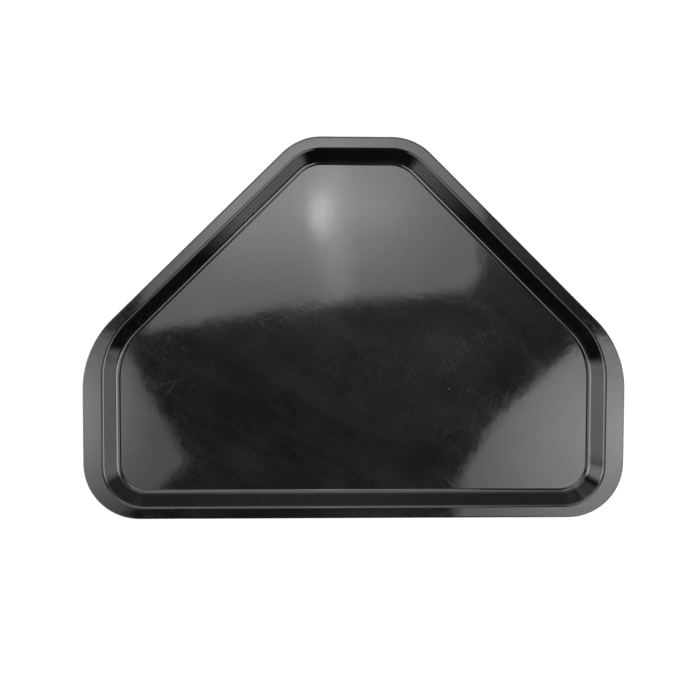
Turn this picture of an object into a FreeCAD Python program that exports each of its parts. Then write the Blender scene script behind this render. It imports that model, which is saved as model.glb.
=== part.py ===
"""Trapezoid serving tray, pressed from glass mat and polyester between two gloss skins.

Frame: X along the long front edge, Y from the front edge to the short back edge, Z up.
The origin is the middle of the plan, on the plane that the tray rests on. Millimetres.

The tray is four layers, one on the other, with a wire laid between the middle two. Every
layer has the same four regions, so the same functions build them all:
  floor   a plate inside the floor outline
  wall    a section carried round the floor outline: hollow bend, slope, rounded lip
  rim     a flat plate from the lip to near the edge
  edge    a quarter round carried round the rim outline
Both outlines are hexagons with rounded corners. The rim is wider along the two ends, where
the tray is held, so its outline isn't a plain offset of the floor outline.

Each layer is a shell between two depths below the tray's face. Going down into the tray by
that much makes the hollow bend's radius larger and the lip's radius smaller.
"""

import FreeCAD, Part
import os
import Sketcher
from FreeCAD import Placement, Rotation, Vector

SIZES = {
    # rim outline
    "width": 480.0,
    "length": 336.7,
    "back_half": 50.6,        # half of the back edge, to its sharp corner
    "slant": 44.4,            # slanted edges, degrees from the X axis
    "rim_front_round": 49.0,
    "rim_end_round": 87.5,
    "rim_back_round": 48.0,
    # floor outline, where the flat floor ends
    "margin": 24.0,           # from the rim outline at the front, back and slanted edges
    "end_margin": 31.1,       # from the rim outline at the two ends
    "floor_front_round": 22.7,
    "floor_end_round": 57.0,
    "floor_back_round": 26.0,
    # wall section
    "depth": 16.5,            # from the rim's face down to the floor's face
    "wall_slope": 59.0,       # degrees above the floor
    "lip_round": 3.2,
    "floor_bend": 5.6,
    # layers
    "skin": 0.4,
    "mat": 1.0,
    # wire in the rim
    "wire_radius": 0.7,
    "wire_inset": 4.6,        # from the rim outline to the wire's middle
}

THICKNESS = "(2 * Sizes.skin + 2 * Sizes.mat)"
MIDDLE = "(Sizes.skin + Sizes.mat)"
RIM_FACE = f"(Sizes.depth + {THICKNESS})"
WALL_RUN = ("(Sizes.depth / tan(Sizes.wall_slope)"
            " + (Sizes.lip_round + Sizes.floor_bend) * tan(Sizes.wall_slope / 2))")

# An outline: half width, front and back line, half of the back edge to its sharp corner,
# and the front, end and back corner radii.
RIM = {
    "half_width": "Sizes.width / 2",
    "front": "(-Sizes.length / 2)",
    "back": "Sizes.length / 2",
    "back_half": "Sizes.back_half",
    "front_round": "Sizes.rim_front_round",
    "end_round": "Sizes.rim_end_round",
    "back_round": "Sizes.rim_back_round",
}
FLOOR = {
    "half_width": "(Sizes.width / 2 - Sizes.end_margin)",
    "front": "(-Sizes.length / 2 + Sizes.margin)",
    "back": "(Sizes.length / 2 - Sizes.margin)",
    "back_half": "(Sizes.back_half - Sizes.margin * tan(Sizes.slant / 2))",
    "front_round": "Sizes.floor_front_round",
    "end_round": "Sizes.floor_end_round",
    "back_round": "Sizes.floor_back_round",
}

# The layers, each between two depths below the tray's face.
FACE = "0"
UNDER_TOP_SKIN = "Sizes.skin"
OVER_BOTTOM_SKIN = "(Sizes.skin + 2 * Sizes.mat)"
LAYERS = {
    "top_skin": (FACE, UNDER_TOP_SKIN),
    "upper_glass_mat": (UNDER_TOP_SKIN, MIDDLE),
    "lower_glass_mat": (MIDDLE, OVER_BOTTOM_SKIN),
    "bottom_skin": (OVER_BOTTOM_SKIN, THICKNESS),
}
MATS = ("upper_glass_mat", "lower_glass_mat")

# What each number means where a sketch names a point or an axis.
START = 1
END = 2
CENTRE = 3
ORIGIN = (-1, 1)
UPRIGHT_AXIS = -2

doc = FreeCAD.newDocument("Tray")


def make_sizes():
    """The sheet that every dimension is bound to."""
    sheet = doc.addObject("Spreadsheet::Sheet", "Sizes")
    for row, (name, value) in enumerate(SIZES.items(), start=1):
        sheet.set(f"A{row}", name)
        sheet.set(f"B{row}", str(value))
        sheet.setAlias(f"B{row}", name)
    doc.recompute()


def value_of(expression):
    """The expression's present number, so that geometry is drawn in its place."""
    return float(doc.Sizes.evalExpression(expression))


def make_body(name):
    body = doc.addObject("PartDesign::Body", name)
    body.Label = name
    body.Placement = Placement(Vector(0, 0, 0), Rotation())
    return body


def make_sketch(body, name, role, height="0"):
    """An empty sketch on one of the body's origin planes, raised along the plane's normal."""
    plane = next(item for item in body.Origin.OriginFeatures if item.Role == role)
    sketch = body.newObject("Sketcher::SketchObject", f"{body.Name}_{name}")
    sketch.AttachmentSupport = [(plane, "")]
    sketch.MapMode = "FlatFace"
    sketch.setExpression("AttachmentOffset.Base.z", height)
    return sketch


def level_sketch(body, name, height):
    return make_sketch(body, name, "XY_Plane", height)


def upright_sketch(body, name):
    """A section across the front edge: its X runs back along Y, its Y runs up along Z."""
    return make_sketch(body, name, "YZ_Plane")


def bind(sketch, expression, kind, *where):
    """Add a dimension and tie it to the sheet."""
    index = sketch.addConstraint(Sketcher.Constraint(kind, *where, value_of(expression)))
    sketch.renameConstraint(index, f"size_{index}")
    sketch.setExpression(f"Constraints.size_{index}", expression)


def join(sketch, kind, *where):
    sketch.addConstraint(Sketcher.Constraint(kind, *where))


def draw_arc(sketch, x, y, radius, begin, end):
    """An arc from angle begin to angle end, in degrees, with its centre and radius bound."""
    centre = Vector(value_of(x), value_of(y), 0)
    circle = Part.Circle(centre, Vector(0, 0, 1), value_of(radius))
    to_radians = FreeCAD.Units.Quantity("1 deg").getValueAs("rad").Value
    curve = Part.ArcOfCircle(circle, begin * to_radians, end * to_radians)
    arc = sketch.addGeometry(curve, False)
    bind(sketch, radius, "Radius", arc)
    bind(sketch, x, "DistanceX", *ORIGIN, arc, CENTRE)
    bind(sketch, y, "DistanceY", *ORIGIN, arc, CENTRE)
    return arc


def draw_line(sketch, begin, end):
    return sketch.addGeometry(Part.LineSegment(begin, end), False)


def point(sketch, item, position):
    return sketch.getPoint(item, position)


def corners(outline):
    """Arc centre, radius and angles of the six corners, anticlockwise from the front right."""
    end_x, back_x = outline["half_width"], outline["back_half"]
    front, back = outline["front"], outline["back"]
    front_round, end_round = outline["front_round"], outline["end_round"]
    back_round = outline["back_round"]
    end_y = f"({back} - ({end_x} - {back_x}) * tan(Sizes.slant))"
    normal = 90 - SIZES["slant"]
    right = [
        (f"({end_x} - {front_round})", f"{front} + {front_round}", front_round, -90, 0),
        (f"({end_x} - {end_round})", f"{end_y} - {end_round} * tan(45 - Sizes.slant / 2)",
         end_round, 0, normal),
        (f"({back_x} - {back_round} * tan(Sizes.slant / 2))", f"{back} - {back_round}",
         back_round, normal, 90),
    ]
    left = [(f"-{x}", y, radius, 180 - end, 180 - begin)
            for x, y, radius, begin, end in reversed(right)]
    return right + left


def draw_outline(sketch, outline, inward):
    """A rounded hexagon, moved inward from the outline.

    The six arcs keep their centres and lose `inward` from their radii. The lines between
    them are tangent to both neighbours, so the arcs alone fix the shape. The front edge is
    two lines, because a section stands where they meet, in the middle.
    """
    arcs = [draw_arc(sketch, x, y, f"{radius} - {inward}", begin, end)
            for x, y, radius, begin, end in corners(outline)]
    middle = Vector(0, value_of(f"{outline['front']} + {inward}"), 0)
    for arc, following in zip(arcs, arcs[1:]):
        edge = draw_line(sketch, point(sketch, arc, END), point(sketch, following, START))
        join(sketch, "Tangent", arc, END, edge, START)
        join(sketch, "Tangent", edge, END, following, START)
    front_right = draw_line(sketch, middle, point(sketch, arcs[0], START))
    front_left = draw_line(sketch, point(sketch, arcs[-1], END), middle)
    join(sketch, "Tangent", front_right, END, arcs[0], START)
    join(sketch, "Tangent", arcs[-1], END, front_left, START)
    join(sketch, "Coincident", front_left, END, front_right, START)
    join(sketch, "Horizontal", front_right)
    join(sketch, "PointOnObject", front_right, START, UPRIGHT_AXIS)


def draw_wall_line(sketch, below):
    """One side of the wall section: bend, slope and lip, at a depth below the tray's face."""
    slope = SIZES["wall_slope"]
    bend = draw_arc(sketch, FLOOR["front"], f"{THICKNESS} + Sizes.floor_bend",
                    f"Sizes.floor_bend + {below}", 270 - slope, 270)
    lip = draw_arc(sketch, f"{FLOOR['front']} - {WALL_RUN}", f"{RIM_FACE} - Sizes.lip_round",
                   f"Sizes.lip_round - {below}", 90 - slope, 90)
    wall = draw_line(sketch, point(sketch, bend, START), point(sketch, lip, START))
    join(sketch, "Tangent", bend, START, wall, START)
    join(sketch, "Tangent", wall, END, lip, START)
    join(sketch, "Vertical", bend, END, bend, CENTRE)
    join(sketch, "Vertical", lip, END, lip, CENTRE)
    return bend, lip


def draw_wall_section(sketch, top, bottom):
    """The wall of one layer, closed at the floor and at the rim by short upright lines."""
    upper = draw_wall_line(sketch, top)
    lower = draw_wall_line(sketch, bottom)
    for above, below in zip(upper, lower):
        closing = draw_line(sketch, point(sketch, above, END), point(sketch, below, END))
        join(sketch, "Coincident", closing, START, above, END)
        join(sketch, "Coincident", closing, END, below, END)


def draw_quarter(sketch, outer, inner, upper):
    """A quarter disc, or a quarter ring if inner isn't None, about the rim's middle line."""
    begin = 90 if upper else 180
    on_top, on_side = (START, END) if upper else (END, START)
    centre = (f"{RIM['front']} + {MIDDLE}", f"{RIM_FACE} - {MIDDLE}")
    outside = draw_arc(sketch, *centre, outer, begin, begin + 90)
    join(sketch, "Vertical", outside, on_top, outside, CENTRE)
    join(sketch, "Horizontal", outside, on_side, outside, CENTRE)
    inside = outside
    ends = {on_top: CENTRE, on_side: CENTRE}
    if inner is not None:
        inside = draw_arc(sketch, *centre, inner, begin, begin + 90)
        join(sketch, "Vertical", inside, on_top, inside, CENTRE)
        join(sketch, "Horizontal", inside, on_side, inside, CENTRE)
        ends = {on_top: on_top, on_side: on_side}
    for position, other in ends.items():
        side = draw_line(sketch, point(sketch, inside, other), point(sketch, outside, position))
        join(sketch, "Coincident", side, START, inside, other)
        join(sketch, "Coincident", side, END, outside, position)


def draw_wire_section(sketch):
    """The wire's circle, on the rim's middle line."""
    x = f"{RIM['front']} + Sizes.wire_inset"
    y = f"{RIM_FACE} - {MIDDLE}"
    centre = Vector(value_of(x), value_of(y), 0)
    circle = Part.Circle(centre, Vector(0, 0, 1), value_of("Sizes.wire_radius"))
    wire = sketch.addGeometry(circle, False)
    bind(sketch, "Sizes.wire_radius", "Radius", wire)
    bind(sketch, x, "DistanceX", *ORIGIN, wire, CENTRE)
    bind(sketch, y, "DistanceY", *ORIGIN, wire, CENTRE)


def pad(body, name, sketch, length):
    """Fill the sketch upwards."""
    feature = body.newObject("PartDesign::Pad", f"{body.Name}_{name}")
    feature.Profile = sketch
    feature.setExpression("Length", length)


def pipe(body, name, section, path, kind="AdditivePipe"):
    """Carry an upright section round a level path, square to it all the way."""
    feature = body.newObject(f"PartDesign::{kind}", f"{body.Name}_{name}")
    feature.Profile = section
    feature.Spine = path
    feature.Mode = "Standard"


def wire_sketches(body):
    section = upright_sketch(body, "wire_section")
    draw_wire_section(section)
    path = level_sketch(body, "wire_path", f"{RIM_FACE} - {MIDDLE}")
    draw_outline(path, RIM, "Sizes.wire_inset")
    return section, path


def make_layer(name, top, bottom):
    """One pressed layer between two depths below the tray's face."""
    body = make_body(name)
    thickness = f"{bottom} - {top}"

    floor = level_sketch(body, "floor_outline", f"{THICKNESS} - {bottom}")
    draw_outline(floor, FLOOR, "0")
    pad(body, "floor", floor, thickness)

    wall = upright_sketch(body, "wall_section")
    draw_wall_section(wall, top, bottom)
    pipe(body, "wall", wall, floor)

    rim = level_sketch(body, "rim_outline", f"{RIM_FACE} - {bottom}")
    draw_outline(rim, RIM, MIDDLE)
    draw_outline(rim, FLOOR, f"(-{WALL_RUN})")
    pad(body, "rim", rim, thickness)

    is_upper = value_of(bottom) <= value_of(MIDDLE)
    is_mat = name in MATS
    edge = upright_sketch(body, "edge_section")
    draw_quarter(edge, "Sizes.mat" if is_mat else MIDDLE, None if is_mat else "Sizes.mat", is_upper)
    edge_path = level_sketch(body, "edge_path", f"{RIM_FACE} - {MIDDLE}")
    draw_outline(edge_path, RIM, MIDDLE)
    pipe(body, "edge", edge, edge_path)

    if is_mat:
        pipe(body, "wire_groove", *wire_sketches(body), kind="SubtractivePipe")


def make_wire():
    """The rim wire, a closed loop that fills the groove between the two mats."""
    body = make_body("rim_wire")
    pipe(body, "wire", *wire_sketches(body))


def check():
    """Stop on any failed feature or broken solid, before anything is written."""
    for item in doc.Objects:
        if {"Invalid", "Error"} & set(item.State):
            raise RuntimeError(f"{item.Name} failed: {item.State}")
        if item.isDerivedFrom("Sketcher::SketchObject") and not item.FullyConstrained:
            raise RuntimeError(f"{item.Name} isn't fully constrained")


def write():
    os.makedirs("parts", exist_ok=True)
    bodies = [item for item in doc.Objects if item.isDerivedFrom("PartDesign::Body")]
    for body in bodies:
        if body.Shape.isNull() or not body.Shape.isValid() or len(body.Shape.Solids) != 1:
            raise RuntimeError(f"{body.Label} isn't one good solid")
    for body in bodies:
        body.Shape.exportStep(f"parts/{body.Label}.step")
        box = body.Shape.optimalBoundingBox()
        print(f"{body.Label}: {body.Shape.Volume / 1000:.2f} cm3, {len(body.Shape.Faces)} faces,"
              f" x {box.XMin:.2f}..{box.XMax:.2f}, y {box.YMin:.2f}..{box.YMax:.2f},"
              f" z {box.ZMin:.2f}..{box.ZMax:.2f}")


def main():
    make_sizes()
    for name, (top, bottom) in LAYERS.items():
        make_layer(name, top, bottom)
    make_wire()
    doc.recompute()
    check()
    write()


main()
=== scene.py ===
"""Looks of the trapezoid serving tray: its polished face, its underside, what lies between
them, and the studio that shows it. Metres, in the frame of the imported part."""

import math

import bpy
import numpy as np
from bpy.props import FloatProperty, FloatVectorProperty, PointerProperty
from mathutils import Euler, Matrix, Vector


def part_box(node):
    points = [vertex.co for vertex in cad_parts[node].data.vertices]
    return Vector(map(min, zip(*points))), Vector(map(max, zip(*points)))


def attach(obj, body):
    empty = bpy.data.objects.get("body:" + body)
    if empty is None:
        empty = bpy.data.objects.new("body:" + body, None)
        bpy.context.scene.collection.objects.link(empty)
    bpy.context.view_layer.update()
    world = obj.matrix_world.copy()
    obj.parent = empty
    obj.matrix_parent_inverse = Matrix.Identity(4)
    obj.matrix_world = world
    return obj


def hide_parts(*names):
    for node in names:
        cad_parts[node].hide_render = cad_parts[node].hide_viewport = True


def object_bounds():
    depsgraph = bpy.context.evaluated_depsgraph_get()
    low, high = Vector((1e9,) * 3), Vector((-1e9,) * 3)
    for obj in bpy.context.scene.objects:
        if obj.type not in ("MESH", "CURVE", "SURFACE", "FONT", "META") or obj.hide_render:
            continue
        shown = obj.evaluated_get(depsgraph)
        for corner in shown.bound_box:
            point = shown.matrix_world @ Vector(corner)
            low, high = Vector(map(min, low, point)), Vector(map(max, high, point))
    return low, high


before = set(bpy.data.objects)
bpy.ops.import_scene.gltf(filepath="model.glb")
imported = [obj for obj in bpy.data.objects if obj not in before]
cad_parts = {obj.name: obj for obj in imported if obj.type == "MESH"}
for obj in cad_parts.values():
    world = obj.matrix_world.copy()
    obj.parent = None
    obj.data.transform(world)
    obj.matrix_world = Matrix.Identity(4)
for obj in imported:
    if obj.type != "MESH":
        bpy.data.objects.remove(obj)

bl_info = {
    "name": "Serving Tray",
    "version": (1, 0, 0),
    "blender": (4, 5, 0),
    "location": "View3D > Sidebar > Tray",
    "description": "Builds a pressed serving tray with a polished black face",
    "category": "Add Mesh",
}

MM = 0.001
BODY = "root"
CAD_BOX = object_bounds()
LOW, HIGH = CAD_BOX
TOP_SKIN_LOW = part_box("top_skin")[0].z  # its hidden side, under the floor
SEAM_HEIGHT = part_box("bottom_skin")[1].z  # where the two skins meet round the rim's edge
BOTH_MATS = 2.0 * MM


# ---------------------------------------------------------------- settings

def length(name, text, default):
    return FloatProperty(name=name, description=text, default=default, min=0.0, precision=5,
                         unit="LENGTH")


def angle(name, text, degrees):
    return FloatProperty(name=name, description=text, default=math.radians(degrees),
                         subtype="ANGLE")


def factor(name, text, default):
    return FloatProperty(name=name, description=text, default=default, min=0.0)


def colour(name, text, default):
    return FloatVectorProperty(name=name, description=text, default=default, size=3,
                               subtype="COLOR", min=0.0, max=1.0)


class TraySizes(bpy.types.PropertyGroup):
    """The tray's section and its two outlines, as the solid part has them."""
    width: length("Width", "Rim, end to end", HIGH.x - LOW.x)
    depth_of_plan: length("Length", "Rim, front to back", HIGH.y - LOW.y)
    height: length("Height", "Table to the rim's face", HIGH.z - LOW.z)
    back_half: length("Back half", "Half of the back edge, to its sharp corner", 50.6 * MM)
    slant: angle("Slant", "Slanted edges from the front edge", 44.4)
    rim_front_round: length("Rim front round", "Rim corner beside the front edge", 49.0 * MM)
    rim_end_round: length("Rim end round", "Rim corner above each end", 87.5 * MM)
    rim_back_round: length("Rim back round", "Rim corner beside the back edge", 48.0 * MM)
    margin: length("Margin", "Rim outline to floor, front, back and slants", 24.0 * MM)
    end_margin: length("End margin", "Rim outline to floor, at the two ends", 31.1 * MM)
    floor_front_round: length("Floor front round", "Floor corner by the front", 22.7 * MM)
    floor_end_round: length("Floor end round", "Floor corner above each end", 57.0 * MM)
    floor_back_round: length("Floor back round", "Floor corner by the back", 26.0 * MM)
    hollow: length("Hollow", "Rim's face down to the floor's face", 16.5 * MM)
    wall_slope: angle("Wall slope", "Wall above the floor", 59.0)
    lip_round: length("Lip round", "Round at the top of the wall", 3.2 * MM)
    floor_bend: length("Floor bend", "Hollow bend at the foot of the wall", 5.6 * MM)
    skin: length("Skin", "Thickness of each skin", TOP_SKIN_LOW - BOTH_MATS)
    ripple: length("Ripple", "Depth of the face's slow waves", 0.05 * MM)


class TrayFinish(bpy.types.PropertyGroup):
    """Colours and surface of the tray's materials."""
    face_colour: colour("Face colour", "Polished black skin", (0.0022, 0.0022, 0.0023))
    # The film colour is partly a wiping film's tint and partly a painted sheen standing in for the
    # reflected dim ceiling.
    film_and_sheen_colour: colour("Film colour", "Film left by wiping", (0.0095, 0.0095, 0.0097))
    scratch_colour: colour("Scratch colour", "Scratches on the face", (0.0125, 0.0125, 0.0125))
    dust_colour: colour("Dust colour", "Dust on the face", (0.16, 0.16, 0.155))
    face_index: factor("Face index", "Index of refraction of the polished skin", 1.52)
    face_roughness: factor("Face roughness", "Blur of the clean polished skin", 0.038)
    film_blur: factor("Film blur", "Roughness that the film adds", 0.035)
    scratch_blur: factor("Scratch blur", "Roughness that a scratch adds to the face", 0.12)
    under_colour: colour("Underside colour", "Satin black skin", (0.010, 0.010, 0.0105))
    under_scratch_colour: colour("Underside scratches", "Scratches on the satin skin",
                                 (0.03, 0.03, 0.031))
    under_roughness: factor("Underside roughness", "Blur of the satin skin", 0.38)
    under_scratch_shine: factor("Underside shine", "Roughness that a scratch takes away", 0.1)
    resin_colour: colour("Resin colour", "Resin of the glass mats", (0.10, 0.085, 0.05))
    fibre_colour: colour("Fibre colour", "Strands of the glass mats", (0.34, 0.33, 0.27))
    wire_colour: colour("Wire colour", "Drawn aluminium", (0.80, 0.80, 0.82))


class TrayStudio(bpy.types.PropertyGroup):
    """Camera and lights."""
    lens: FloatProperty(name="Lens", description="Focal length", default=61.85,
                        subtype="DISTANCE_CAMERA")
    camera_height: length("Camera height", "Camera above the rim", 1.0576)
    floor_size: length("Floor size", "Side of the studio floor", 3.0)
    floor_colour: colour("Floor colour", "Studio floor", (0.85, 0.85, 0.85))
    lamp_height: length("Lamp height", "Lamp above the tray", 3.0)
    lamp_size: length("Lamp size", "Side of the lamp", 4.0)
    lamp_power: FloatProperty(name="Lamp power", description="Power of the lamp", default=240.0,
                              min=0.0, subtype="POWER", unit="POWER")


# ---------------------------------------------------------------- outlines

def corner_arcs(sizes, on_rim):
    """Centre, radius and turning angles of an outline's six corners, anticlockwise from the
    front right. Each is tangent to the two straight edges beside it."""
    inset = 0.0 if on_rim else sizes.margin
    end_x = sizes.width / 2 - (0.0 if on_rim else sizes.end_margin)
    back = sizes.depth_of_plan / 2 - inset
    front = -back
    half = sizes.back_half - inset * math.tan(sizes.slant / 2)
    if on_rim:
        rounds = (sizes.rim_front_round, sizes.rim_end_round, sizes.rim_back_round)
    else:
        rounds = (sizes.floor_front_round, sizes.floor_end_round, sizes.floor_back_round)
    quarter = math.pi / 2
    normal = quarter - sizes.slant
    end_y = back - (end_x - half) * math.tan(sizes.slant)
    right = [
        (end_x - rounds[0], front + rounds[0], rounds[0], -quarter, 0.0),
        (end_x - rounds[1], end_y - rounds[1] * math.tan(normal / 2), rounds[1], 0.0, normal),
        (half - rounds[2] * math.tan(sizes.slant / 2), back - rounds[2], rounds[2], normal,
         quarter),
    ]
    left = [(-x, y, radius, math.pi - end, math.pi - begin)
            for x, y, radius, begin, end in reversed(right)]
    return right + left


ARC_STEPS = 20
EDGE_STEPS = (22, 52, 16, 52, 22, 96)  # right end, slant, back, slant, left end, front


def outline(sizes, on_rim, outward=0.0):
    """Points and outward directions round an outline. Every corner is centre plus radius
    times the direction at evenly spaced angles, and every straight edge is evenly spaced
    points between two corners, so the same index means the same place on both outlines."""
    arcs = []
    for x, y, radius, begin, end in corner_arcs(sizes, on_rim):
        turn = np.linspace(begin, end, ARC_STEPS + 1)
        away = np.stack([np.cos(turn), np.sin(turn)], 1)
        arcs.append((np.array([x, y]) + (radius + outward) * away, away))
    points, directions = [], []
    for (here, away), (there, _), steps in zip(arcs, arcs[1:] + arcs[:1], EDGE_STEPS):
        share = np.linspace(0.0, 1.0, steps + 1)[1:-1, None]
        points += [here, here[-1] * (1 - share) + there[0] * share]
        directions += [away, np.repeat(away[-1:], len(share), 0)]
    return np.concatenate(points), np.concatenate(directions)


# ---------------------------------------------------------------- shells

def ring(flat, height, away, lean, up):
    """One closed row of points with their normals: the plan points at one height, and a
    normal that leans outward from upright by the angle lean, turned over if up is -1."""
    place = np.column_stack([flat, np.full(len(flat), height)])
    normal = np.column_stack([away * math.sin(lean), np.full(len(flat), math.cos(lean))])
    return place, normal * up


FACE_RINGS = 46  # rows of points across the floor, on each kind of surface
UNDERSIDE_RINGS = 20
HIDDEN_RINGS = 12
BEND_RINGS = 14
WALL_RINGS = 6
LIP_RINGS = 12
RIM_RINGS = 6
EDGE_RINGS = 10


def face_rings(sizes, below, is_upper, floor_rings):
    """Rows of points from near the middle of the floor out to the rim's edge, on the surface
    that lies `below` under the tray's face: the floor outline shrunk towards the middle, the
    hollow bend as an arc of radius bend + below, the straight wall, the lip as an arc of
    radius lip - below, the flat rim as a blend from lip to edge, and a quarter round."""
    plan, away = outline(sizes, False)
    slope = sizes.wall_slope
    run = (sizes.hollow / math.tan(slope)
           + (sizes.lip_round + sizes.floor_bend) * math.tan(slope / 2))
    floor_height = sizes.height - sizes.hollow - below
    up = 1 if is_upper else -1
    middle = np.array([0.0, plan[:, 1].mean()])
    rows = [ring(middle + (plan - middle) * share, floor_height, away, 0.0, up)
            for share in np.linspace(0.0, 1.0, floor_rings + 1)[1:]]
    bend = sizes.floor_bend + below
    for lean in np.linspace(0.0, slope, BEND_RINGS + 1)[1:]:
        rows.append(ring(plan + away * bend * math.sin(lean),
                         floor_height + bend * (1 - math.cos(lean)), away, -lean, up))
    lip = sizes.lip_round - below
    lip_height = sizes.height - sizes.lip_round
    foot = (bend * math.sin(slope), floor_height + bend * (1 - math.cos(slope)))
    head = (run - lip * math.sin(slope), lip_height + lip * math.cos(slope))
    for share in np.linspace(0.0, 1.0, WALL_RINGS + 1)[1:]:
        offset = foot[0] * (1 - share) + head[0] * share
        height = foot[1] * (1 - share) + head[1] * share
        rows.append(ring(plan + away * offset, height, away, -slope, up))
    for lean in np.linspace(slope, 0.0, LIP_RINGS + 1)[1:]:
        rows.append(ring(plan + away * (run - lip * math.sin(lean)),
                         lip_height + lip * math.cos(lean), away, -lean, up))
    seam_depth = sizes.height - SEAM_HEIGHT
    inner, outer = plan + away * run, outline(sizes, True, -seam_depth)[0]
    for share in np.linspace(0.0, 1.0, RIM_RINGS + 1)[1:]:
        rows.append(ring(inner * (1 - share) + outer * share, sizes.height - below, away, 0.0, up))
    edge = abs(seam_depth - below)
    for turn in np.linspace(0.0, math.pi / 2, EDGE_RINGS + 1)[1:]:
        rows.append(ring(outer + away * edge * math.sin(turn),
                         SEAM_HEIGHT + up * edge * math.cos(turn), away, up * turn, up))
    return rows


WAVES = (  # share of the depth, wavelength along x and y in metres, phase
    (0.45, 0.260, 0.410, 0.6), (0.30, -0.170, 0.230, 2.1),
    (0.15, 0.120, 0.095, 4.0), (0.10, -0.066, 0.105, 5.2))


def ripple(x, y, depth):
    """Slow waves of a pressed face and their slopes: four sine waves of different length
    and heading, summed, and lowered so that no crest stands above the true face."""
    height, slope_x, slope_y = -depth, 0.0, 0.0
    for share, along_x, along_y, phase in WAVES:
        turn_x, turn_y = 2 * math.pi / along_x, 2 * math.pi / along_y
        turn = turn_x * x + turn_y * y + phase
        height = height + share * depth * np.sin(turn)
        slope_x = slope_x + share * depth * turn_x * np.cos(turn)
        slope_y = slope_y + share * depth * turn_y * np.cos(turn)
    return height, slope_x, slope_y


def rippled(row, depth):
    """Shift a row upright by the ripple. A normal (a, b, c) then becomes
    (a - c times slope x, b - c times slope y, c), made unit length again."""
    place, normal = row[0].copy(), row[1].copy()
    height, slope_x, slope_y = ripple(place[:, 0], place[:, 1], depth)
    place[:, 2] += height
    normal[:, 0] -= slope_x * normal[:, 2]
    normal[:, 1] -= slope_y * normal[:, 2]
    return place, normal / np.linalg.norm(normal, axis=1)[:, None]


def linked(name, data):
    """A new object at the origin that holds the data."""
    item = bpy.data.objects.new(name, data)
    bpy.context.scene.collection.objects.link(item)
    return item


def closed_shell(name, shown, hidden):
    """A mesh from the shown rows and, back again, the hidden ones. Neighbouring rows are
    joined by quads and each end is closed by a fan round a point in the middle of its row."""
    rows = shown + [(place, -normal) for place, normal in reversed(hidden)]
    around = len(rows[0][0])
    ends = (rows[0], rows[-1])
    places = np.concatenate([place for place, _ in rows] + [[end[0].mean(0) for end in ends]])
    normals = np.concatenate([normal for _, normal in rows] + [[end[1][0] for end in ends]])
    here = np.arange(around)
    following = (here + 1) % around
    start = np.arange(len(rows) - 1)[:, None] * around
    quads = np.stack([start + here, start + around + here, start + around + following,
                      start + following], -1).reshape(-1, 4)
    first, last = len(places) - 2, (len(rows) - 1) * around
    fans = np.concatenate([
        np.stack([np.full(around, first), here, following], 1),
        np.stack([last + here, np.full(around, first + 1), last + following], 1)])
    if normals[first, 2] < 0:
        quads, fans = quads[:, ::-1], fans[:, ::-1]
    mesh = bpy.data.meshes.new(name)
    mesh.from_pydata(places.tolist(), [], quads.tolist() + fans.tolist())
    mesh.shade_smooth()
    mesh.normals_split_custom_set_from_vertices(normals.tolist())
    return linked(name, mesh)


def place_piece(piece, node, material):
    """Give a finished piece its material, and put it in the solid piece's stead."""
    piece.data.materials.append(material)
    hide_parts(node)
    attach(piece, BODY)


# ---------------------------------------------------------------- node helpers

class Nodes:
    """A short way to write a node tree: add() makes a node, sets its inputs and links."""

    def __init__(self, tree):
        self.tree = tree

    def add(self, kind, inputs=None, **settings):
        node = self.tree.nodes.new(kind)
        for name, value in settings.items():
            setattr(node, name, value)
        for name, value in (inputs or {}).items():
            if isinstance(value, bpy.types.NodeSocket):
                self.tree.links.new(value, node.inputs[name])
            else:
                node.inputs[name].default_value = value
        return node

    def math(self, operation, *values):
        node = self.add("ShaderNodeMath", dict(enumerate(values)), operation=operation)
        return node.outputs[0]

    def ramp(self, value, low, high, to_low=0.0, to_high=1.0):
        """Map low..high to to_low..to_high, held at both ends."""
        node = self.add("ShaderNodeMapRange", {"Value": value, "From Min": low, "From Max": high,
                                               "To Min": to_low, "To Max": to_high})
        return node.outputs["Result"]

    def noise(self, vector, scale, detail=2.0, roughness=0.5):
        node = self.add("ShaderNodeTexNoise", {"Vector": vector, "Scale": scale,
                                               "Detail": detail, "Roughness": roughness})
        return node.outputs["Fac"]

    def stretched(self, vector, turn, scale):
        """Turn a place about the upright axis, then scale it."""
        turned = self.add("ShaderNodeMapping", {"Vector": vector, "Rotation": (0, 0, turn)})
        scaled = self.add("ShaderNodeMapping", {"Vector": turned.outputs[0], "Scale": scale})
        return scaled.outputs[0]

    def warped(self, vector, scale, reach):
        """Shift each place by a slow noise, by up to half of reach each way."""
        noise = self.add("ShaderNodeTexNoise", {"Vector": vector, "Scale": scale, "Detail": 1.0})
        node = self.add("ShaderNodeVectorMath", {0: noise.outputs["Color"], 1: (reach,) * 3,
                                                 2: vector}, operation="MULTIPLY_ADD")
        return node.outputs[0]

    def mix_colour(self, share, first, second):
        node = self.add("ShaderNodeMix", {0: share, 6: first, 7: second}, data_type="RGBA")
        return node.outputs[2]

    def bump(self, height, distance):
        node = self.add("ShaderNodeBump", {"Height": height, "Distance": distance,
                                           "Strength": 1.0})
        return node.outputs[0]


def cleared(holder):
    """The emptied node tree of a new material or world."""
    holder.use_nodes = True
    holder.node_tree.nodes.clear()
    return Nodes(holder.node_tree)


# ---------------------------------------------------------------- shared effects

SCRATCH_HEADINGS = (  # turn, and how often the pattern repeats along and across a scratch
    (0.3, 40.0, 1700.0), (-0.5, 26.0, 1500.0), (1.4, 46.0, 1900.0),
    (0.9, 34.0, 1800.0), (-1.1, 44.0, 1600.0), (2.0, 30.0, 2000.0))
DUST_RARITY = 0.965


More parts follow.
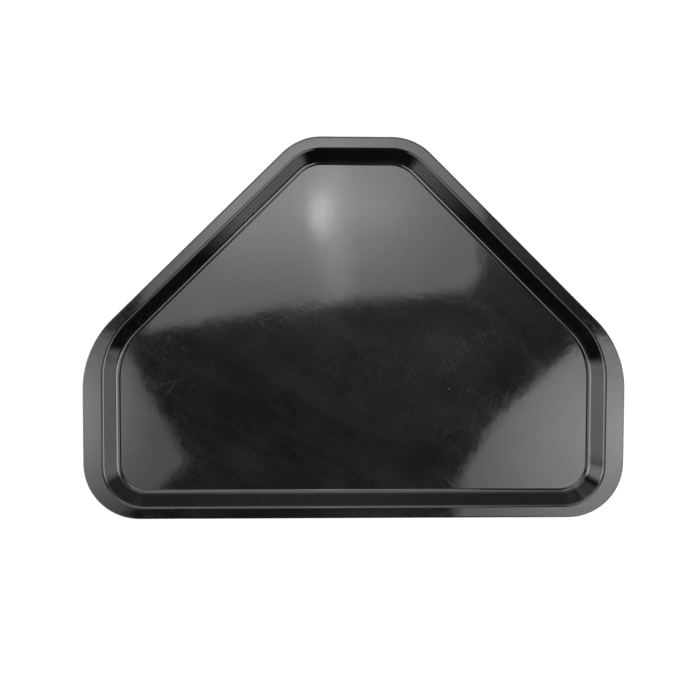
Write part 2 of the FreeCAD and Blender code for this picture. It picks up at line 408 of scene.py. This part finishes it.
def hairlines(nodes, given):
    """Fine curved scratches: noise stretched along six headings and cut off near its top,
    broken up by a slower noise."""
    lines = 0.0
    bent = nodes.warped(given["Vector"], scale=9.0, reach=0.05)
    for turn, along, across in SCRATCH_HEADINGS:
        streak = nodes.noise(nodes.stretched(bent, turn, (along, across, along)),
                             scale=1.0, detail=1.0)
        lines = nodes.math("MAXIMUM", lines, nodes.ramp(streak, low=0.67, high=0.75))
    patches = nodes.ramp(nodes.noise(given["Vector"], scale=14.0), low=0.40, high=0.66,
                         to_low=0.15)
    return nodes.math("MULTIPLY", nodes.math("MULTIPLY", lines, patches), given["Amount"])


def specks(nodes, given):
    """Dust: a dot in a few of the cells of a cell pattern."""
    cells = nodes.add("ShaderNodeTexVoronoi", {"Vector": given["Vector"], "Scale": given["Scale"]})
    value = nodes.add("ShaderNodeSeparateColor", {"Color": cells.outputs["Color"]}).outputs[0]
    chosen = nodes.math("GREATER_THAN", value, DUST_RARITY)
    dot = nodes.math("LESS_THAN", cells.outputs["Distance"], given["Size"])
    return nodes.math("MULTIPLY", chosen, dot)


def print_through(nodes, given):
    """The mat below shows faintly in a pressed skin: three noises, each finer than the last."""
    height = 0.0
    for share, scale in (("Broad", 48.0), ("Coarse", 160.0), ("Fine", 900.0)):
        height = nodes.math("MULTIPLY_ADD", nodes.noise(given["Vector"], scale), given[share],
                            height)
    return height


VECTOR = "NodeSocketVector"
FLOAT = "NodeSocketFloat"
EFFECTS = {  # inputs with their kinds and defaults, the output, and what builds it
    "fine_scratches": ([("Vector", VECTOR, None), ("Amount", FLOAT, 1.0)], "Mask", hairlines),
    "dust_specks": ([("Vector", VECTOR, None), ("Scale", FLOAT, 150.0), ("Size", FLOAT, 0.05)],
                    "Mask", specks),
    "mat_print_through": ([("Vector", VECTOR, None), ("Broad", FLOAT, 1.0),
                           ("Coarse", FLOAT, 1.0), ("Fine", FLOAT, 0.2)],
                          "Height", print_through),
}


def make_group(name, inputs, output, build):
    """A shader node group with one output, whose value build(nodes, given) returns."""
    tree = bpy.data.node_groups.new(name, "ShaderNodeTree")
    for socket, kind, default in inputs:
        item = tree.interface.new_socket(socket, in_out="INPUT", socket_type=kind)
        if default is not None:
            item.default_value = default
    tree.interface.new_socket(output, in_out="OUTPUT", socket_type=FLOAT)
    nodes = Nodes(tree)
    given = nodes.add("NodeGroupInput").outputs
    nodes.add("NodeGroupOutput", {output: build(nodes, given)})
    return tree


def effect(nodes, name, **inputs):
    """A shared effect with its own values, its group built at the first call."""
    group = bpy.data.node_groups.get(name) or make_group(name, *EFFECTS[name])
    return nodes.add("ShaderNodeGroup", inputs, node_tree=group).outputs[0]


# ---------------------------------------------------------------- materials

RIM_LEVELS = (HIGH.z - 0.8 * MM, HIGH.z - 0.2 * MM)  # heights from the lip to the rim
FOOT_LEVELS = (TOP_SKIN_LOW + 0.8 * MM, TOP_SKIN_LOW + 4.0 * MM)  # and from floor to wall
PRINT_DEPTH = 0.012 * MM
GRAIN_DEPTH = 0.02 * MM
STRAND_DEPTH = 0.03 * MM


def new_material(name):
    material = bpy.data.materials.new(name)
    nodes = cleared(material)
    shader = nodes.add("ShaderNodeBsdfPrincipled")
    nodes.add("ShaderNodeOutputMaterial", {"Surface": shader.outputs[0]})
    place = nodes.add("ShaderNodeTexCoord").outputs["Object"]
    return material, nodes, shader, place


def connect(nodes, shader, **sockets):
    for name, value in sockets.items():
        nodes.tree.links.new(value, shader.inputs[name.replace("_", " ")])


def solid(rgb):
    return (*rgb, 1.0)


def face_material(finish):
    """Polished black skin: very dark, sharp reflections, fine scratches that crowd on the rim,
    dust, and a cloudy, wiped film that thins out on the walls. The film's lighter colour is partly
    a painted sheen, standing in for the faint structure of the dim ceiling that the face reflects."""
    material, nodes, shader, place = new_material("polished_black_skin")
    height = nodes.add("ShaderNodeSeparateXYZ", {"Vector": place}).outputs["Z"]
    crowding = nodes.ramp(height, *RIM_LEVELS, to_low=1.0, to_high=1.8)
    scratches = effect(nodes, "fine_scratches", Vector=place, Amount=crowding)
    dust = effect(nodes, "dust_specks", Vector=place, Scale=130.0, Size=0.05)

    cloudy = nodes.noise(nodes.warped(place, scale=6.0, reach=0.08), scale=15.0, detail=5.0,
                         roughness=0.6)
    clouds = nodes.ramp(cloudy, low=0.40, high=0.72)
    strokes = nodes.stretched(nodes.warped(place, scale=4.0, reach=0.12), turn=0.5,
                              scale=(9.0, 55.0, 9.0))
    wiped = nodes.ramp(nodes.noise(strokes, scale=1.0, detail=4.0, roughness=0.6),
                       low=0.42, high=0.72)
    # The film mask is partly a wiping film and partly painted sheen. It is strongest on the floor
    # and rim, which face the ceiling, and it lifts the black there to stand in for the reflected
    # dim ceiling.
    film_and_sheen = nodes.math("MULTIPLY_ADD", wiped, 0.45, nodes.math("MULTIPLY", clouds, 0.55))
    on_floor = nodes.ramp(height, *FOOT_LEVELS, to_low=1.0, to_high=0.2)
    on_rim = nodes.ramp(height, *RIM_LEVELS, to_low=0.0, to_high=0.7)
    film_and_sheen = nodes.math("MULTIPLY", film_and_sheen, nodes.math("MAXIMUM", on_floor, on_rim))

    rough = nodes.math("MULTIPLY_ADD", film_and_sheen, finish.film_blur, finish.face_roughness)
    rough = nodes.math("MULTIPLY_ADD", scratches, finish.scratch_blur, rough)
    # Painted sheen: the film mask lightens the base colour, partly as a wiping film's tint.
    filmed_and_sheened = nodes.mix_colour(film_and_sheen, solid(finish.face_colour), solid(finish.film_and_sheen_colour))
    scratched = nodes.mix_colour(scratches, filmed_and_sheened, solid(finish.scratch_colour))
    tint = nodes.mix_colour(dust, scratched, solid(finish.dust_colour))
    mat_print = effect(nodes, "mat_print_through", Vector=place, Broad=2.4, Coarse=0.8, Fine=0.08)
    connect(nodes, shader, Base_Color=tint, Roughness=rough,
            Normal=nodes.bump(mat_print, PRINT_DEPTH))
    shader.inputs["IOR"].default_value = finish.face_index
    return material


def underside_material(finish):
    """Satin black skin with the grain of the release sheet it was pressed against, and
    scratches that shine a little."""
    material, nodes, shader, place = new_material("satin_black_skin")
    scratches = effect(nodes, "fine_scratches", Vector=place, Amount=1.0)
    grain = nodes.noise(place, scale=1400.0, detail=3.0, roughness=0.6)
    haze = nodes.ramp(nodes.noise(place, scale=12.0, detail=3.0), low=0.3, high=0.7,
                      to_low=-0.06, to_high=0.06)
    uneven = nodes.math("MULTIPLY_ADD", scratches, -finish.under_scratch_shine, haze)
    rough = nodes.math("ADD", uneven, finish.under_roughness)
    tint = nodes.mix_colour(scratches, solid(finish.under_colour),
                            solid(finish.under_scratch_colour))
    connect(nodes, shader, Base_Color=tint, Roughness=rough,
            Normal=nodes.bump(grain, GRAIN_DEPTH))
    return material


def mat_material(finish):
    """Glass mat in resin: short pale strands lying every way in a dark amber resin."""
    material, nodes, shader, place = new_material("glass_mat_in_resin")
    strands = 0.0
    for turn in (0.1, 0.9, 1.7, 2.5):
        strand = nodes.noise(nodes.stretched(place, turn, (40.0, 900.0, 40.0)), scale=1.0)
        strands = nodes.math("MAXIMUM", strands, nodes.ramp(strand, low=0.55, high=0.65))
    tint = nodes.mix_colour(strands, solid(finish.resin_colour), solid(finish.fibre_colour))
    rough = nodes.ramp(strands, low=0.0, high=1.0, to_low=0.35, to_high=0.6)
    connect(nodes, shader, Base_Color=tint, Roughness=rough,
            Normal=nodes.bump(strands, STRAND_DEPTH))
    return material


def wire_material(finish):
    """Drawn aluminium with faint, darker die marks."""
    material, nodes, shader, place = new_material("drawn_aluminium")
    marks = nodes.noise(nodes.stretched(place, 0.0, (60.0, 60.0, 6000.0)), scale=1.0, detail=3.0)
    darker = [part * 0.85 for part in finish.wire_colour]
    tint = nodes.mix_colour(nodes.ramp(marks, low=0.3, high=0.7), solid(darker),
                            solid(finish.wire_colour))
    rough = nodes.ramp(marks, low=0.3, high=0.7, to_low=0.25, to_high=0.4)
    connect(nodes, shader, Base_Color=tint, Roughness=rough)
    shader.inputs["Metallic"].default_value = 1.0
    return material


# ---------------------------------------------------------------- light tent

SHEET_HEIGHT = 1.6
SHEET_HALF = (0.83, 0.66)
SHEET_POINTS = (250, 200)
TENT_RADIUS = 1.8
TENT_SPAN = (20, 92)  # degrees down from overhead
TENT_GLOW = 0.08
COMPASS_FADE = 10  # degrees over which a side light fades out, round and down
DOWN_FADE = 5

# An outline is given clockwise. A spot is its brightness, its middle along x and y, and its
# reach along x and y. A panel is its outlines, its soft border, its brightness and its spots.
CEILING = (0.045, (
    (0.23, 0.02, -0.03, 0.70, 0.32), (0.08, 0.30, -0.20, 0.35, 0.33),
    (0.50, 0.42, 0.16, 0.16, 0.24), (0.24, 0.12, -0.52, 0.28, 0.11)))
BACK_PANEL = (
    (((-0.395, -0.075), (-0.395, 0.41), (0.06, 0.41), (0.06, 0.002)),
     ((-0.06, -0.014), (-0.06, 0.41), (0.358, 0.41), (0.352, 0.06), (0.322, 0.016))),
    0.032, 2.3, (
        (3.1, -0.01, 0.26, 0.42, 0.30), (0.9, -0.24, 0.18, 0.20, 0.26),
        (4.4, -0.006, 0.187, 0.045, 0.088), (0.8, -0.003, 0.20, 0.09, 0.17),
        (1.2, 0.026, 0.11, 0.06, 0.33), (0.6, 0.07, 0.20, 0.20, 0.07)))
LEFT_PANEL = (
    (((-0.80, -0.06), (-0.455, -0.075), (-0.303, -0.364), (-0.363, -0.425), (-0.56, -0.56),
      (-0.80, -0.52)),),
    0.026, 1.5, ((3.6, -0.60, -0.25, 0.25, 0.30),))
RIGHT_PANEL = (
    (((0.567, -0.11), (0.60, -0.085), (0.74, -0.06), (0.74, -0.56), (0.42, -0.60),
      (0.29, -0.52), (0.315, -0.388), (0.399, -0.263)),),
    0.022, 2.2, ((2.7, 0.64, -0.30, 0.34, 0.44), (1.5, 0.70, -0.29, 0.14, 0.20)))

SIDE_LIGHTS = (  # from and to round the compass, from and to down from overhead, brightness
    (159, 208, 36, 84, 4.4), (208, 250, 36, 71, 4.4), (165, 186, 56, 84, 4.0),
    (186, 208, 62, 84, 2.2), (208, 250, 60, 71, 2.4), (112, 146, 22, 86, 1.5),
    (60, 120, 26, 84, 0.8), (62, 122, 24, 48, 1.9), (82, 97, 60, 84, 0.4),
    (146, 159, 22, 50, 2.0), (12, 60, 36, 84, 0.8), (338, 374, 36, 80, 4.2),
    (285, 338, 36, 69, 4.2), (338, 365, 56, 80, 3.6), (285, 338, 56, 69, 3.8),
)

FLAG_ENDS = ((-0.136, -0.200), (0.125, -0.240))
FLAG_HEIGHTS = (0.03, 0.26)
FLAG_POINTS = (45, 21)
FLAG_OVERHANG = 0.6  # how far it runs on past each end, as a share of its length
FLAG_END_FADE = 0.55  # both fades are shares of its length and of its height
FLAG_TOP_FADE = 0.22


def glow_material(name):
    """Light as strong as the sheet's own shade at each place."""
    material = bpy.data.materials.new(name)
    nodes = cleared(material)
    shade = nodes.add("ShaderNodeAttribute", attribute_name="shade").outputs["Fac"]
    light = nodes.add("ShaderNodeEmission", {"Strength": shade})
    nodes.add("ShaderNodeOutputMaterial", {"Surface": light.outputs[0]})
    return material


def dark_material(name):
    """Black where the sheet's shade is 1, clear where it is 0."""
    material = bpy.data.materials.new(name)
    nodes = cleared(material)
    shade = nodes.add("ShaderNodeAttribute", attribute_name="shade").outputs["Fac"]
    clear = nodes.add("ShaderNodeBsdfTransparent", {"Color": nodes.math("SUBTRACT", 1.0, shade)})
    nodes.add("ShaderNodeOutputMaterial", {"Surface": clear.outputs[0]})
    return material


def soft(share):
    """A step from 0 to 1 with soft ends: 3 t squared less 2 t cubed, t held in 0..1."""
    share = np.clip(share, 0.0, 1.0)
    return share * share * (3 - 2 * share)


def soft_panel(x, y, corners, border):
    """1 inside a convex outline given clockwise, 0 outside, soft across the border: the soft
    step of the least distance to any edge."""
    least = np.full(x.shape, np.inf)
    for (ax, ay), (bx, by) in zip(corners, corners[1:] + corners[:1]):
        long = math.hypot(bx - ax, by - ay)
        least = np.minimum(least, ((by - ay) * (x - ax) - (bx - ax) * (y - ay)) / long)
    return soft(least / border + 0.5)


def spotted(x, y, even, spots):
    """An even brightness and round spots added to it, each its brightness times the soft
    step of one less the distance over the reach."""
    return even + sum(
        brightness * soft(1 - np.hypot((x - across) / reach_x, (y - along) / reach_y))
        for brightness, across, along, reach_x, reach_y in spots)


def overhead_glow(x, y):
    """The cloth panels over the tray: one behind with a lamp close to its cloth, one at each
    side, and a dim ceiling between them."""
    glow = spotted(x, y, *CEILING)
    for outlines, border, even, spots in (BACK_PANEL, LEFT_PANEL, RIGHT_PANEL):
        cover = np.max([soft_panel(x, y, corners, border) for corners in outlines], axis=0)
        glow += cover * spotted(x, y, even, spots)
    return glow


def side_glow(compass, down):
    """The walls of the light tent: a dim glow, and each light's brightness inside its two
    spans of angle, with soft ends."""
    glow = np.full(compass.shape, TENT_GLOW)
    for start, end, upper, lower, brightness in SIDE_LIGHTS:
        off = np.abs((compass - (start + end) / 2 + 180) % 360 - 180)
        glow += (brightness * soft(((end - start) / 2 - off) / COMPASS_FADE + 0.5)
                 * soft((down - upper) / DOWN_FADE + 0.5)
                 * soft((lower - down) / DOWN_FADE + 0.5))
    return glow


def add_sheet(name, places, shade, material):
    """A stage sheet from a grid of places with a shade at each, seen only by reflections."""
    rows, columns = shade.shape
    here = np.arange(rows * columns).reshape(rows, columns)
    quads = np.stack([here[:-1, :-1], here[:-1, 1:], here[1:, 1:], here[1:, :-1]], -1)
    mesh = bpy.data.meshes.new(name)
    mesh.from_pydata(places.reshape(-1, 3).tolist(), [], quads.reshape(-1, 4).tolist())
    layer = mesh.attributes.new("shade", "FLOAT", "POINT")
    layer.data.foreach_set("value", shade.ravel().astype(np.float32))
    mesh.materials.append(material)
    sheet = linked(name, mesh)
    sheet.visible_camera = False
    sheet.visible_diffuse = False
    sheet.visible_shadow = False


def add_overhead_sheet():
    """A flat sheet over the tray, on an even grid."""
    x, y = np.meshgrid(*(np.linspace(-half, half, points)
                         for half, points in zip(SHEET_HALF, SHEET_POINTS)))
    places = np.stack([x, y, np.full(x.shape, SHEET_HEIGHT)], -1)
    add_sheet("overhead_sheet", places, overhead_glow(x, y), glow_material("overhead_sheet"))


def add_side_tent():
    """A part of a sphere round the tray, a point to every 2 degrees of the compass and every
    degree down: radius times (sine of the way down, turned to the compass; cosine of it)."""
    compass, down = np.meshgrid(np.linspace(0, 360, 181),
                                np.linspace(*TENT_SPAN, TENT_SPAN[1] - TENT_SPAN[0] + 1))
    around, below = np.radians(compass), np.radians(down)
    places = np.stack([np.sin(below) * np.cos(around), np.sin(below) * np.sin(around),
                       np.cos(below)], -1) * TENT_RADIUS
    add_sheet("side_tent", places, side_glow(compass, down), glow_material("side_tent"))


def add_flag():
    """A dark upright sheet before the tray, on straight lines between its two ends and run
    on past both. Its ends and its top fade out."""
    along, up = np.meshgrid(np.linspace(-FLAG_OVERHANG, 1 + FLAG_OVERHANG, FLAG_POINTS[0]),
                            np.linspace(0.0, 1.0, FLAG_POINTS[1]))
    shade = ((1 - soft(np.maximum(-along, along - 1) / FLAG_END_FADE))
             * (1 - soft((up - 1) / FLAG_TOP_FADE + 1)))
    left, right = np.array(FLAG_ENDS)
    low, high = FLAG_HEIGHTS
    flat = left + (right - left) * along[..., None]
    places = np.concatenate([flat, (low + (high - low) * up)[..., None]], -1)
    add_sheet("front_flag", places, shade, dark_material("front_flag"))


# ---------------------------------------------------------------- studio

CAMERA_PLACE = (-0.0477, 0.0452)
CAMERA_TURN = (-3.439, -2.276, 0.198)  # degrees about x, y and z
FLOOR_DROP = 0.2 * MM  # the studio floor below the plane that the tray rests on


def add_lamp(studio):
    """A broad lamp straight above, for the studio floor. The tray doesn't reflect it."""
    light = bpy.data.lights.new("floor_light", "AREA")
    light.shape = "SQUARE"
    light.size = studio.lamp_size
    light.energy = studio.lamp_power
    lamp = linked("floor_light", light)
    lamp.location = (0.0, 0.0, studio.lamp_height)
    lamp.visible_glossy = False
    lamp.visible_camera = False


def add_camera(studio):
    """Nearly overhead, a little left of the middle and behind it, leaning back to it."""
    data = bpy.data.cameras.new("camera")
    data.lens = studio.lens
    data.sensor_width = 36.0
    camera = linked("camera", data)
    camera.location = (*CAMERA_PLACE, HIGH.z + studio.camera_height)
    camera.rotation_euler = Euler([math.radians(turn) for turn in CAMERA_TURN])
    bpy.context.scene.camera = camera


def add_floor(studio):
    """A pale, matt square under the tray."""
    material = bpy.data.materials.new("studio_floor")
    material.use_nodes = True
    shader = material.node_tree.nodes["Principled BSDF"]
    shader.inputs["Base Color"].default_value = solid(studio.floor_colour)
    shader.inputs["Roughness"].default_value = 0.9
    half = studio.floor_size / 2
    mesh = bpy.data.meshes.new("studio_floor")
    mesh.from_pydata([(x, y, LOW.z - FLOOR_DROP) for x, y in
                      ((-half, -half), (half, -half), (half, half), (-half, half))],
                     [], [(0, 1, 2, 3)])
    mesh.materials.append(material)
    piece = linked("studio_floor", mesh)


def set_world():
    """White to the camera, dim to everything else."""
    world = bpy.data.worlds.new("studio")
    nodes = cleared(world)
    seen = nodes.add("ShaderNodeLightPath").outputs["Is Camera Ray"]
    dim = nodes.add("ShaderNodeBackground", {"Color": (0.1, 0.1, 0.1, 1.0), "Strength": 1.0})
    white = nodes.add("ShaderNodeBackground", {"Color": (1.0, 1.0, 1.0, 1.0), "Strength": 1.0})
    both = nodes.add("ShaderNodeMixShader", {0: seen, 1: dim.outputs[0], 2: white.outputs[0]})
    nodes.add("ShaderNodeOutputWorld", {"Surface": both.outputs[0]})
    bpy.context.scene.world = world


# ---------------------------------------------------------------- operators

class TRAY_OT_top_skin(bpy.types.Operator):
    """Build the polished skin that is seen from above"""
    bl_idname = "tray.top_skin"
    bl_label = "Top Skin"

    def execute(self, context):
        sizes = context.scene.tray_sizes
        shown = [rippled(row, sizes.ripple) for row in face_rings(sizes, 0.0, True, FACE_RINGS)]
        hidden = face_rings(sizes, sizes.skin, True, HIDDEN_RINGS)
        piece = closed_shell("polished_top_skin", shown, hidden)
        place_piece(piece, "top_skin",
                    face_material(context.scene.tray_finish))
        return {"FINISHED"}


class TRAY_OT_bottom_skin(bpy.types.Operator):
    """Build the satin skin that the tray rests on"""
    bl_idname = "tray.bottom_skin"
    bl_label = "Bottom Skin"

    def execute(self, context):
        sizes = context.scene.tray_sizes
        thickness = sizes.height - sizes.hollow - LOW.z
        shown = face_rings(sizes, thickness, False, UNDERSIDE_RINGS)
        hidden = face_rings(sizes, thickness - sizes.skin, False, HIDDEN_RINGS)
        piece = closed_shell("satin_bottom_skin", shown, hidden)
        place_piece(piece, "bottom_skin",
                    underside_material(context.scene.tray_finish))
        return {"FINISHED"}


class TRAY_OT_core(bpy.types.Operator):
    """Give the two glass mats and the rim wire their materials"""
    bl_idname = "tray.core"
    bl_label = "Glass Mats and Rim Wire"

    def execute(self, context):
        finish = context.scene.tray_finish
        mat = mat_material(finish)
        for node, material in (("upper_glass_mat", mat), ("lower_glass_mat", mat),
                               ("rim_wire", wire_material(finish))):
            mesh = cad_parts[node].data
            mesh.materials.clear()
            mesh.materials.append(material)
        return {"FINISHED"}


class TRAY_OT_studio(bpy.types.Operator):
    """Set up the floor, the lights and the camera"""
    bl_idname = "tray.studio"
    bl_label = "Studio"

    def execute(self, context):
        studio = context.scene.tray_studio
        context.scene.view_settings.view_transform = "Standard"
        add_floor(studio)
        set_world()
        add_camera(studio)
        add_lamp(studio)
        add_overhead_sheet()
        add_side_tent()
        add_flag()
        return {"FINISHED"}


class TRAY_PT_panel(bpy.types.Panel):
    """The tray's operators and settings"""
    bl_idname = "TRAY_PT_panel"
    bl_label = "Serving Tray"
    bl_space_type = "VIEW_3D"
    bl_region_type = "UI"
    bl_category = "Tray"

    def draw(self, context):
        for operator in OPERATORS:
            self.layout.operator(operator.bl_idname)
        for settings in SETTINGS:
            group = getattr(context.scene, settings)
            box = self.layout.box()
            for name in group.__annotations__:
                box.prop(group, name)


OPERATORS = (TRAY_OT_top_skin, TRAY_OT_bottom_skin, TRAY_OT_core, TRAY_OT_studio)
CLASSES = (TraySizes, TrayFinish, TrayStudio, *OPERATORS, TRAY_PT_panel)
SETTINGS = {"tray_sizes": TraySizes, "tray_finish": TrayFinish, "tray_studio": TrayStudio}


def register():
    for item in CLASSES:
        bpy.utils.register_class(item)
    for name, kind in SETTINGS.items():
        setattr(bpy.types.Scene, name, PointerProperty(type=kind))


def unregister():
    for name in SETTINGS:
        delattr(bpy.types.Scene, name)
    for item in reversed(CLASSES):
        bpy.utils.unregister_class(item)


def main():
    register()
    bpy.ops.tray.top_skin()
    bpy.ops.tray.bottom_skin()
    bpy.ops.tray.core()
    bpy.ops.tray.studio()


if __name__ == "__main__":
    main()
